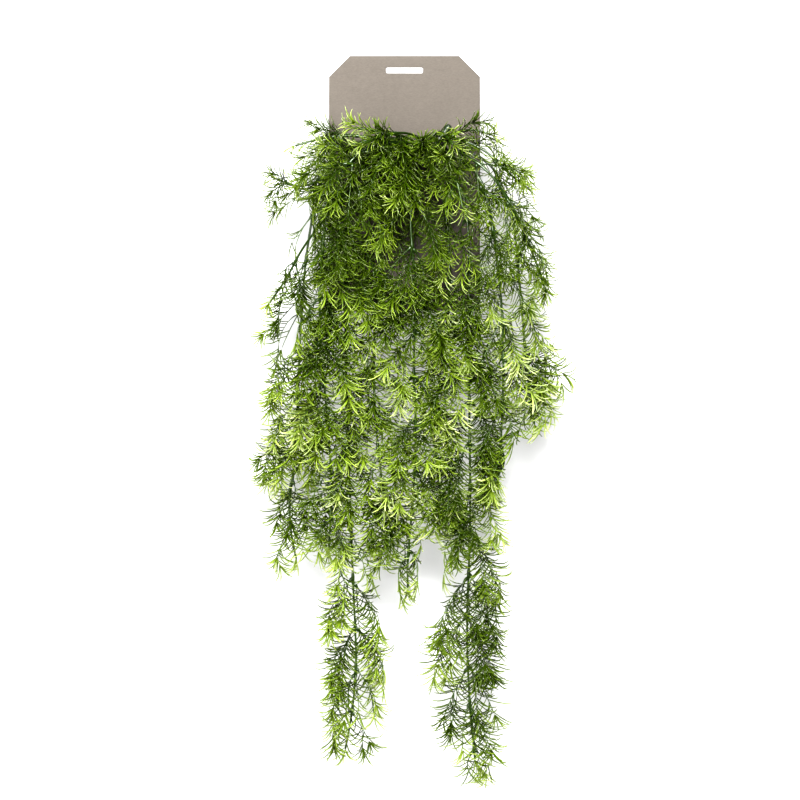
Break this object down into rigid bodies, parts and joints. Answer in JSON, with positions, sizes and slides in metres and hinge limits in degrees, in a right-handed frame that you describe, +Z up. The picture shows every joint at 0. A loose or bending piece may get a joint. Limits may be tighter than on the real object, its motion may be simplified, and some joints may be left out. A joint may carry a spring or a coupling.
{
  "type": "sprengeri asparagus fern",
  "caption": "Artificial trailing asparagus fern with long drooping needle-leaved stems, tied by its neck to a slotted header card that hangs on a peg.",
  "frame": {"origin": "middle of the hanging slot's upper edge, half way through the card's thickness, where the peg carries the weight", "axes": "+Z up, along the hanging stems; +Y out of the card's back, towards the wall; +X to the right as seen from the front"},
  "size_m": [0.3275, 0.1285, 0.7276],
  "materials": {
    "greyboard": "matte uncoated board",
    "dark_plastic": "satin moulded plastic",
    "black_nylon": "satin",
    "foliage": "semi-gloss moulded plastic, dark green with lime tips"
  },
  "bodies": {
    "root": {"card": "greyboard", "bush_neck": "dark_plastic", "tie": "black_nylon", "stem_centre": "foliage", "stem_front_left": "foliage", "stem_front_low": "foliage", "stem_front_right": "foliage", "stem_front_right_low": "foliage", "stem_inner_left": "foliage", "stem_inner_right": "foliage", "stem_left_brow": "foliage", "stem_left_fill": "foliage", "stem_left_long": "foliage", "stem_left_outer": "foliage", "stem_left_spread": "foliage", "stem_left_sweep": "foliage", "stem_left_top": "foliage", "stem_right_fall": "foliage", "stem_right_high": "foliage", "stem_right_long": "foliage", "stem_right_mid": "foliage", "stem_right_outer": "foliage", "stem_right_spread": "foliage"}
  },
  "joints": []
}
